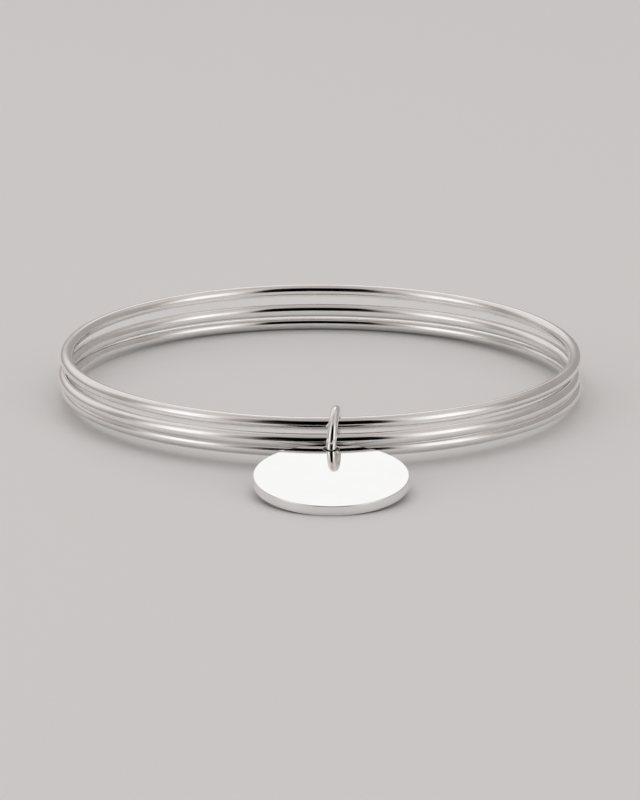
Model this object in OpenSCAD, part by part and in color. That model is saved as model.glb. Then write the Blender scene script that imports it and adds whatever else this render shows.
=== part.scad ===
/* [Bangles] */
// Outside diameter of each hoop
bangle_od = 66; // [60:0.5:72]
// Thickness of the hoops' round wire
wire_d = 1.66; // [1.5:0.02:1.7]
// How far the bottom hoop sits towards the charm
bottom_forward = 0.6; // [0.5:0.05:0.7]
// How far the bottom hoop sits to the right
bottom_right = 0.09; // [0:0.01:0.2]
// How far the middle hoop sits towards the charm
middle_forward = 1.55; // [1.4:0.05:1.6]
// How far the middle hoop sits to the left
middle_left = 0.18; // [0:0.02:0.2]
// How much closer the middle hoop is to the bottom one on the side to which it is moved
middle_dip = 0.25; // [0.2:0.01:0.28]
// Air left between pieces that lie on each other
seat_gap = 0.06; // [0.06:0.01:0.08]
// Air left under the loose top hoop where it crosses the middle one
loose_gap = 0.29; // [0.2:0.01:0.37]
// How much higher the top hoop is at the charm than at the back
top_rise = 0.04; // [0:0.02:0.2]

/* [Jump ring] */
// Inside diameter of the jump ring
ring_id = 5.32; // [5.28:0.02:5.4]
// Thickness of the jump ring's wire
ring_wire_d = 1.14; // [1.1:0.02:1.24]
// How far the ring's centre lies outside the hoops' centreline circle
ring_forward = 0.78; // [0.76:0.01:0.84]
// Where the ring stands, to the right of the middle
ring_right = 1.64; // [-4:0.01:4]
// Turn of the upright ring seen from above
ring_turn = 5.5; // [0:0.5:10]
// How far the top of the ring leans to the right
ring_lean = 3; // [0:0.5:5]

/* [Charm] */
// Diameter of the disc
disc_d = 18.4; // [16:0.1:22]
// Thickness of the disc
disc_t = 1.22; // [1:0.02:1.3]
// Radius on the disc's edges
disc_edge_r = 0.1; // [0.05:0.05:0.3]
// Slope of the disc, which leans up onto the ring
disc_tilt = 6.8; // [6:0.1:7.2]
// Diameter of the hole for the jump ring
hole_d = 1.9; // [1.86:0.02:2]
// Distance from the disc's edge to the middle of the hole
hole_inset = 1.38; // [1.36:0.01:1.45]

/* [Hidden] */

silver = [0.84, 0.83, 0.81];
hoop_facets = 180;
wire_facets = 32;
small_facets = 96;

wire_r = wire_d / 2;
hoop_r = bangle_od / 2 - wire_r;
ring_wire_r = ring_wire_d / 2;
ring_r = ring_id / 2 + ring_wire_r;
disc_r = disc_d / 2;

// The bottom hoop lies on the surface at the back and on the ring's wire at the front.
bottom_back_z = wire_r;
bottom_front_z = ring_wire_d + seat_gap + wire_r;
bottom_z = (bottom_front_z + bottom_back_z) / 2;
bottom_rise = (bottom_front_z - bottom_back_z) / 2;

// The middle hoop dips where it is moved to, and lies on the bottom one where their wires come nearest.
touch = wire_d + seat_gap;
step_left = middle_left + bottom_right;
step_forward = middle_forward - bottom_forward;
step = norm([step_left, step_forward]);
middle_z = bottom_z + touch * sqrt(1 + pow(middle_dip / step, 2));
middle_rise_front = bottom_rise - middle_dip * step_forward / step;
middle_rise_right = middle_dip * step_left / step;

// The top hoop is loose on the middle one.
top_z = middle_z + wire_d + loose_gap;

// The ring stands on the surface, and its wire comes through the disc's hole at a slant.
ring_y = -hoop_r - ring_forward;
ring_z = ring_r * cos(ring_lean) + ring_wire_r;
hole_reach = disc_d - hole_inset;
disc_rest = disc_edge_r * (sin(disc_tilt) + cos(disc_tilt) - 1);
hole_base_z = hole_reach * sin(disc_tilt) - disc_rest;
hole_top_z = hole_base_z + disc_t * cos(disc_tilt);
hole_drop = ring_z - (hole_base_z + hole_top_z) / 2;
function ring_reach(z) = sqrt(pow(ring_r, 2) - pow((ring_z - z) / cos(ring_lean), 2));
hole_out = (ring_reach(hole_base_z) + ring_reach(hole_top_z)) / 2;
hole_x = ring_right - hole_out * sin(ring_turn) - hole_drop * tan(ring_lean);
hole_y = ring_y - hole_out * cos(ring_turn);

// A closed ring of round wire, flat on its own plane.
module wire_ring(centre_r, wire_radius, facets) {
    rotate_extrude($fn = facets)
        translate([centre_r, 0])
            circle(r = wire_radius, $fn = wire_facets);
}

// One hoop, moved and tipped so that its front and its right side rise over its middle.
module hoop(right, forward, middle, rise_front, rise_right) {
    tip = asin(norm([rise_front, rise_right]) / hoop_r);
    turn = atan2(rise_right, rise_front);
    color(silver)
        translate([right, -forward, middle])
            rotate([0, 0, turn])
                rotate([-tip, 0, 0])
                    rotate([0, 0, -turn])
                        wire_ring(hoop_r, wire_r, hoop_facets);
}

module bangle_bottom() {
    hoop(bottom_right, bottom_forward, bottom_z, bottom_rise, 0);
}

module bangle_middle() {
    hoop(-middle_left, middle_forward, middle_z, middle_rise_front, middle_rise_right);
}

module bangle_top() {
    hoop(0, 0, top_z, top_rise / 2, 0);
}

module jump_ring() {
    color(silver)
        translate([ring_right, ring_y, ring_z])
            rotate([0, 0, -ring_turn])
                rotate([0, 90 + ring_lean, 0])
                    wire_ring(ring_r, ring_wire_r, small_facets);
}

// Half of the disc's section: a slab whose outer corners are rounded.
module disc_section() {
    square([disc_r - disc_edge_r, disc_t]);
    translate([0, disc_edge_r])
        square([disc_r, disc_t - 2 * disc_edge_r]);
    for (level = [disc_edge_r, disc_t - disc_edge_r])
        translate([disc_r - disc_edge_r, level])
            circle(r = disc_edge_r, $fn = wire_facets);
}

// The disc's base slopes up from its near edge, whose rounded corner lies on the surface.
module charm_disc() {
    near_y = hole_y - hole_reach * cos(disc_tilt) + disc_t / 2 * sin(disc_tilt);
    color(silver)
        translate([hole_x, near_y, -disc_rest])
            rotate([disc_tilt, 0, 0])
                difference() {
                    translate([0, disc_r, 0])
                        rotate_extrude($fn = small_facets)
                            disc_section();
                    translate([0, hole_reach, -disc_t])
                        cylinder(h = 3 * disc_t, d = hole_d, $fn = wire_facets);
                }
}

bangle_bottom();
bangle_middle();
bangle_top();
jump_ring();
charm_disc();
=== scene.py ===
import math

import bpy
from mathutils import Matrix, Vector


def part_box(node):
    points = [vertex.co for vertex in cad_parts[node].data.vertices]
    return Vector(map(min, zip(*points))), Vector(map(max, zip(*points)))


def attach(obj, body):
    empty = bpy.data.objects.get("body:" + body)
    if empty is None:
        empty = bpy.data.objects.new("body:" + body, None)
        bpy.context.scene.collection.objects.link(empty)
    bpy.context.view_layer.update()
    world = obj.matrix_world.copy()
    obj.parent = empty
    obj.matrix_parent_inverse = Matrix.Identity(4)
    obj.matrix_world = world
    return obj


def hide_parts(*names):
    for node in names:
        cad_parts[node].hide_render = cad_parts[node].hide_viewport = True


MM = 0.001

# Sizes of the pieces that their boxes in the frame don't give
WIRE_D = 1.66 * MM
MIDDLE_TURN = math.radians(10.8)
RING_WIRE_D = 1.14 * MM
RING_TURN = math.radians(5.5)
RING_LEAN = math.radians(3)
DISC_T = 1.22 * MM
DISC_EDGE_R = 0.1 * MM
DISC_TILT = math.radians(6.8)
HOLE_D = 1.9 * MM
HOLE_INSET = 1.38 * MM
HOLE_LIP_R = 0.08 * MM

# How finely the round forms are drawn: along them, and round their section or across their face
HOOP_SEGMENTS = 720
HOOP_SIDES = 56
RING_SEGMENTS = 256
RING_SIDES = 48
DISC_SEGMENTS = 384
DISC_FACE_STEPS = 40
DISC_EDGE_STEPS = 8
HOLE_LIP_STEPS = 6

# Camera: straight in front of the wrist opening, at the photograph's viewing angle; lens in millimetres
CAMERA_ELEVATION = math.radians(15.714)
CAMERA_DISTANCE = 575 * MM
CAMERA_ROLL = math.radians(0.146)
SENSOR_SIDE = 36.0
FOCAL_LENGTH = 203.81
AIM_LEFT = 0.05 * MM
AIM_DOWN = 0.92 * MM
CLIP_START = 10 * MM

# Studio: panels by direction, in degrees, with azimuth 0 towards the camera and 90 to the right
SOFT_PANELS = [
    # azimuth, half width, side softness, lowest, highest, end softness, brightness
    (-63, 18, 15, -90, 42, 14, 1.05),
    (58, 18, 15, -90, 42, 14, 1.05),
    (-145, 30, 16, 10, 60, 10, 0.74),
    (180, 11, 8, 21, 46, 7, 0.97),
    (-4, 34, 12, -90, 68, 8, 0.3),
    (-2, 26, 8, -90, 30, 6, 0.04),
    (19, 13, 6, -90, 0, 4, 0.55),
    (18, 12, 5, 0, 57, 4, 0.0),
    (1, 30, 4, 18, 57, 4, 0.0),
    (-4, 10, 6, -90, 30, 8, 0.0),
]
TENT_STOPS = [
    # elevation, brightness
    (0, 0.34),
    (30, 0.36),
    (48, 0.56),
    (62, 0.6),
    (74, 0.46),
    (90, 0.42),
]

# The warm tint of the tent's dim parts, and the brightness over which it fades to white
DIM_TINT = (1.058, 0.978, 0.96, 1.0)
WHITE = (1.0, 1.0, 1.0, 1.0)
TINT_FADE = (0.5, 0.95)

# Floor and the light over it, in metres and watts
FLOOR_COLOUR = (0.8, 0.8, 0.795, 1.0)
FLOOR_ROUGHNESS = 0.55
FLOOR_NEAR = ((-0.075, -0.078), (0.075, 0.2))
FLOOR_SIDE = 3.0
FLOOR_LIGHT_POWER = 3.0
FLOOR_LIGHT_SIZE = 1.2
FLOOR_LIGHT_HEIGHT = 1.0

# The silver's surface: scales of its patches, fine marks and ripple, and how they are used
PATCH_SCALE = 260
MARK_SCALE = 2600
MARK_SHARE = 0.6
RIPPLE_SCALE = 420
RIPPLE_DEPTH = 0.1 * MM
PATCH_RANGE = (0.3, 0.6)
ROUGH_RANGE = (0.5, 1.1)

# Colours of the silver's clear and dark patches
WIRE_COLOURS = ((0.95, 0.945, 0.93), (0.9, 0.885, 0.865))
DISC_COLOURS = ((0.97, 0.967, 0.955), (0.955, 0.95, 0.935))


# Mesh helpers

def mesh_object(name, points, faces, matrix):
    """A smooth-shaded object from points and faces, whose points matrix takes to their place."""
    mesh = bpy.data.meshes.new(name)
    mesh.from_pydata([matrix @ Vector(point) for point in points], [], faces)
    mesh.update()
    for polygon in mesh.polygons:
        polygon.use_smooth = True
    made = bpy.data.objects.new(name, mesh)
    bpy.context.scene.collection.objects.link(made)
    return made


def closed_loft(rings, segments):
    """Points and faces of a closed surface through circles, each given as (centre y, radius, height)."""
    points = []
    for centre_y, radius, height in rings:
        for k in range(segments):
            angle = 2 * math.pi * k / segments
            points.append((radius * math.cos(angle), centre_y + radius * math.sin(angle), height))
    faces = []
    for i in range(len(rings)):
        j = (i + 1) % len(rings)
        for k in range(segments):
            m = (k + 1) % segments
            faces.append((i * segments + k, i * segments + m, j * segments + m, j * segments + k))
    return points, faces


def ring_loft(centre_radius, wire_radius, segments, sides):
    """A closed ring of round wire in the XY plane."""
    rings = []
    for k in range(sides):
        angle = 2 * math.pi * k / sides
        radius = centre_radius + wire_radius * math.cos(angle)
        rings.append((0.0, radius, wire_radius * math.sin(angle)))
    return closed_loft(rings, segments)


# Pieces

def hoop(node, turn):
    """One bangle: its box gives place, radius and tip; turn is where it rises, right of the front."""
    low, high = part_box(node)
    wire_radius = WIRE_D / 2
    centre_radius = (high.x - low.x) / 2 - wire_radius
    tip = math.asin(max(0.0, (high.z - low.z) / 2 - wire_radius) / centre_radius)
    matrix = (
        Matrix.Translation((low + high) / 2)
        @ Matrix.Rotation(turn, 4, "Z")
        @ Matrix.Rotation(-tip, 4, "X")
        @ Matrix.Rotation(-turn, 4, "Z")
    )
    points, faces = ring_loft(centre_radius, wire_radius, HOOP_SEGMENTS, HOOP_SIDES)
    return mesh_object(node + "_polished", points, faces, matrix)


def jump_ring():
    """The upright ring, a little turned and leaning: the box gives its place and its radius."""
    low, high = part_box("jump_ring")
    wire_radius = RING_WIRE_D / 2
    centre_radius = ((high.z - low.z) / 2 - wire_radius) / math.cos(RING_LEAN)
    matrix = (
        Matrix.Translation((low + high) / 2)
        @ Matrix.Rotation(-RING_TURN, 4, "Z")
        @ Matrix.Rotation(math.pi / 2 + RING_LEAN, 4, "Y")
    )
    points, faces = ring_loft(centre_radius, wire_radius, RING_SEGMENTS, RING_SIDES)
    return mesh_object("jump_ring_polished", points, faces, matrix)


def arc(centre_y, radius, height, arc_radius, start, end, steps):
    """Circles of a rounded edge whose section turns from start to end degrees about (radius, height)."""
    found = []
    for k in range(steps + 1):
        angle = math.radians(start + (end - start) * k / steps)
        out = arc_radius * math.cos(angle)
        up = arc_radius * math.sin(angle)
        found.append((centre_y, radius + out, height + up))
    return found


def face_rings(height, inner, outer, steps):
    """Circles across a flat face, from inner at the hole to outer at the rim, both (centre y, radius)."""
    found = []
    for k in range(1, steps):
        share = k / steps
        share = share * share * (3 - 2 * share)
        centre_y = inner[0] + (outer[0] - inner[0]) * share
        found.append((centre_y, inner[1] + (outer[1] - inner[1]) * share, height))
    return found


def charm_disc():
    """The disc with rounded edges and its hole, tilted up onto the ring."""
    low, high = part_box("charm_disc")
    radius = (high.x - low.x) / 2
    half = DISC_T / 2
    hole_y = radius - HOLE_INSET
    hole_r = HOLE_D / 2
    flat = (0.0, radius - DISC_EDGE_R)
    lip = (hole_y, hole_r + HOLE_LIP_R)
    rings = arc(hole_y, lip[1], half - HOLE_LIP_R, HOLE_LIP_R, 180, 90, HOLE_LIP_STEPS)
    rings += face_rings(half, lip, flat, DISC_FACE_STEPS)
    rings += arc(0.0, flat[1], half - DISC_EDGE_R, DISC_EDGE_R, 90, 0, DISC_EDGE_STEPS)
    rings += arc(0.0, flat[1], DISC_EDGE_R - half, DISC_EDGE_R, 0, -90, DISC_EDGE_STEPS)
    rings += face_rings(-half, lip, flat, DISC_FACE_STEPS)[::-1]
    rings += arc(hole_y, lip[1], HOLE_LIP_R - half, HOLE_LIP_R, -90, -180, HOLE_LIP_STEPS)
    points, faces = closed_loft(rings[::-1], DISC_SEGMENTS)
    matrix = Matrix.Translation((low + high) / 2) @ Matrix.Rotation(DISC_TILT, 4, "X")
    return mesh_object("charm_disc_polished", points, faces, matrix)


# Materials

def math_node(tree, operation, first, second=None):
    """A math node's output; first and second are sockets or numbers."""
    made = tree.nodes.new("ShaderNodeMath")
    made.operation = operation
    for socket, value in zip(made.inputs, (first, second)):
        if value is None:
            continue
        if isinstance(value, (int, float)):
            socket.default_value = value
        else:
            tree.links.new(value, socket)
    return made.outputs[0]


def map_range(tree, value, from_low, from_high, to_low, to_high, kind="LINEAR"):
    """A map range node's output."""
    made = tree.nodes.new("ShaderNodeMapRange")
    made.interpolation_type = kind
    tree.links.new(value, made.inputs["Value"])
    made.inputs["From Min"].default_value = from_low
    made.inputs["From Max"].default_value = from_high
    made.inputs["To Min"].default_value = to_low
    made.inputs["To Max"].default_value = to_high
    return made.outputs["Result"]


def silver(name, colour, dark, polish, dull, ripple):
    """Polished silver: soft patches from dark to colour, roughness from polish to dull, a faint ripple."""
    material = bpy.data.materials.new(name)
    material.use_nodes = True
    tree = material.node_tree
    shader = tree.nodes["Principled BSDF"]
    shader.inputs["Metallic"].default_value = 1.0
    place = tree.nodes.new("ShaderNodeTexCoord").outputs["Object"]

    def noise(scale, detail):
        made = tree.nodes.new("ShaderNodeTexNoise")
        made.inputs["Scale"].default_value = scale
        made.inputs["Detail"].default_value = detail
        tree.links.new(place, made.inputs["Vector"])
        return made.outputs["Fac"]

    patches = noise(PATCH_SCALE, detail=3)
    marks = noise(MARK_SCALE, detail=4)
    mix = tree.nodes.new("ShaderNodeMix")
    mix.data_type = "RGBA"
    mix.inputs["A"].default_value = (*dark, 1.0)
    mix.inputs["B"].default_value = (*colour, 1.0)
    tree.links.new(map_range(tree, patches, *PATCH_RANGE, 0, 1), mix.inputs["Factor"])
    tree.links.new(mix.outputs["Result"], shader.inputs["Base Color"])
    rough = math_node(tree, "ADD", patches, math_node(tree, "MULTIPLY", marks, MARK_SHARE))
    tree.links.new(map_range(tree, rough, *ROUGH_RANGE, polish, dull), shader.inputs["Roughness"])
    bump = tree.nodes.new("ShaderNodeBump")
    bump.inputs["Distance"].default_value = RIPPLE_DEPTH
    bump.inputs["Strength"].default_value = ripple
    tree.links.new(noise(RIPPLE_SCALE, detail=2), bump.inputs["Height"])
    tree.links.new(bump.outputs["Normal"], shader.inputs["Normal"])
    return material


def floor_material():
    """The pale floor's one plain tone."""
    material = bpy.data.materials.new("pale_floor")
    material.use_nodes = True
    tree = material.node_tree
    shader = tree.nodes["Principled BSDF"]
    shader.inputs["Base Color"].default_value = FLOOR_COLOUR
    shader.inputs["Roughness"].default_value = FLOOR_ROUGHNESS
    return material


# Studio

def panel_mask(tree, direction, elevation, panel):
    """1 inside a soft-edged panel and 0 outside it."""
    azimuth, half, side_soft, lowest, highest, end_soft, _ = panel
    along = math.radians(azimuth)
    dot = tree.nodes.new("ShaderNodeVectorMath")
    dot.operation = "DOT_PRODUCT"
    tree.links.new(direction, dot.inputs[0])
    dot.inputs[1].default_value = (math.sin(along), -math.cos(along), 0.0)
    away = math_node(tree, "ARCCOSINE", dot.outputs["Value"])
    away = math_node(tree, "DEGREES", away)
    side = map_range(tree, away, half - side_soft, half + side_soft, 1, 0, "SMOOTHSTEP")
    over = map_range(tree, elevation, highest - end_soft, highest + end_soft, 1, 0, "SMOOTHSTEP")
    under = map_range(tree, elevation, lowest - end_soft, lowest + end_soft, 0, 1, "SMOOTHSTEP")
    return math_node(tree, "MULTIPLY", math_node(tree, "MULTIPLY", side, over), under)


def light_tent():
    """What the silver mirrors: a white tent with two softboxes, a bright back and a dark gap in front."""
    world = bpy.data.worlds.new("light_tent")
    bpy.context.scene.world = world
    world.use_nodes = True
    tree = world.node_tree
    place = tree.nodes.new("ShaderNodeTexCoord").outputs["Generated"]
    split = tree.nodes.new("ShaderNodeSeparateXYZ")
    tree.links.new(place, split.inputs[0])
    flat = tree.nodes.new("ShaderNodeCombineXYZ")
    tree.links.new(split.outputs["X"], flat.inputs["X"])
    tree.links.new(split.outputs["Y"], flat.inputs["Y"])
    level = tree.nodes.new("ShaderNodeVectorMath")
    level.operation = "NORMALIZE"
    tree.links.new(flat.outputs[0], level.inputs[0])
    elevation = math_node(tree, "DEGREES", math_node(tree, "ARCSINE", split.outputs["Z"]))
    ramp = tree.nodes.new("ShaderNodeValToRGB")
    ramp.color_ramp.interpolation = "EASE"
    while len(ramp.color_ramp.elements) < len(TENT_STOPS):
        ramp.color_ramp.elements.new(0.5)
    for element, (height, brightness) in zip(ramp.color_ramp.elements, TENT_STOPS):
        element.position = height / 90
        element.color = (brightness, brightness, brightness, 1.0)
    tree.links.new(map_range(tree, elevation, 0, 90, 0, 1), ramp.inputs["Fac"])
    tone = ramp.outputs["Color"]
    for panel in SOFT_PANELS:
        mix = tree.nodes.new("ShaderNodeMix")
        mix.data_type = "FLOAT"
        tree.links.new(panel_mask(tree, level.outputs["Vector"], elevation, panel), mix.inputs["Factor"])
        tree.links.new(tone, mix.inputs["A"])
        mix.inputs["B"].default_value = panel[-1]
        tone = mix.outputs["Result"]
    tint = tree.nodes.new("ShaderNodeMix")
    tint.data_type = "RGBA"
    tint.inputs["A"].default_value = DIM_TINT
    tint.inputs["B"].default_value = WHITE
    tree.links.new(map_range(tree, tone, *TINT_FADE, 0, 1), tint.inputs["Factor"])
    tree.links.new(tint.outputs["Result"], tree.nodes["Background"].inputs["Color"])
    tree.links.new(tone, tree.nodes["Background"].inputs["Strength"])


def floor():
    """The plain pale floor: the part near the bangle, and the rest, which the silver doesn't mirror."""
    material = floor_material()
    (left, front), (right, back) = FLOOR_NEAR
    half = FLOOR_SIDE / 2
    inner = [(left, front, 0), (right, front, 0), (right, back, 0), (left, back, 0)]
    outer = [(-half, -half, 0), (half, -half, 0), (half, half, 0), (-half, half, 0)]
    frame_faces = [(k, (k + 1) % 4, (k + 1) % 4 + 4, k + 4) for k in range(4)]
    near = mesh_object("floor_near", inner, [(0, 1, 2, 3)], Matrix.Identity(4))
    far = mesh_object("floor_far", outer + inner, frame_faces, Matrix.Identity(4))
    far.visible_glossy = False
    for made in (near, far):
        made.data.materials.append(material)


def floor_light():
    """A large soft light over the floor, kept out of the silver's reflections."""
    light = bpy.data.lights.new("floor_light", "AREA")
    light.size = FLOOR_LIGHT_SIZE
    light.energy = FLOOR_LIGHT_POWER
    made = bpy.data.objects.new("floor_light", light)
    made.location = (0, 0, FLOOR_LIGHT_HEIGHT)
    made.visible_glossy = False
    bpy.context.scene.collection.objects.link(made)


def camera():
    """The camera at the photograph's place, aimed so that the object lies where the photograph has it."""
    data = bpy.data.cameras.new("camera")
    data.sensor_width = SENSOR_SIDE
    data.lens = FOCAL_LENGTH
    data.clip_start = CLIP_START
    made = bpy.data.objects.new("camera", data)
    bpy.context.scene.collection.objects.link(made)
    bpy.context.scene.camera = made
    back = Vector((0, -math.cos(CAMERA_ELEVATION), math.sin(CAMERA_ELEVATION)))
    up = Vector((0, math.sin(CAMERA_ELEVATION), math.cos(CAMERA_ELEVATION)))
    place = back * CAMERA_DISTANCE
    aim = Vector((-AIM_LEFT, 0, 0)) - up * AIM_DOWN
    turn = (aim - place).to_track_quat("-Z", "Y").to_matrix().to_4x4()
    made.matrix_world = Matrix.Translation(place) @ turn @ Matrix.Rotation(CAMERA_ROLL, 4, "Z")


# Scene

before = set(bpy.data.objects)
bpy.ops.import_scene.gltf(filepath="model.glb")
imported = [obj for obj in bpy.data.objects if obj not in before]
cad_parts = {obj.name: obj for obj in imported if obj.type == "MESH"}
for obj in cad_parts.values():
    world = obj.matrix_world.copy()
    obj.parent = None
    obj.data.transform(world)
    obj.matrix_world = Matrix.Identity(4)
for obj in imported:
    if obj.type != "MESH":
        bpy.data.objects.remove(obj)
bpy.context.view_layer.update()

light_tent()
floor()
floor_light()
camera()

hoop_silver = silver("hoop_silver", *WIRE_COLOURS, polish=0.05, dull=0.12, ripple=0.04)
ring_silver = silver("ring_silver", *WIRE_COLOURS, polish=0.05, dull=0.11, ripple=0.04)
disc_silver = silver("disc_silver", *DISC_COLOURS, polish=0.02, dull=0.06, ripple=0.01)

for node, turn in (("bangle_bottom", 0), ("bangle_middle", MIDDLE_TURN), ("bangle_top", 0)):
    piece = hoop(node, turn)
    piece.data.materials.append(hoop_silver)
    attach(piece, "root")
    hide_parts(node)

piece = jump_ring()
piece.data.materials.append(ring_silver)
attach(piece, "root")
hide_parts("jump_ring")

piece = charm_disc()
piece.data.materials.append(disc_silver)
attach(piece, "root")
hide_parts("charm_disc")

bpy.context.scene.view_settings.view_transform = "Standard"
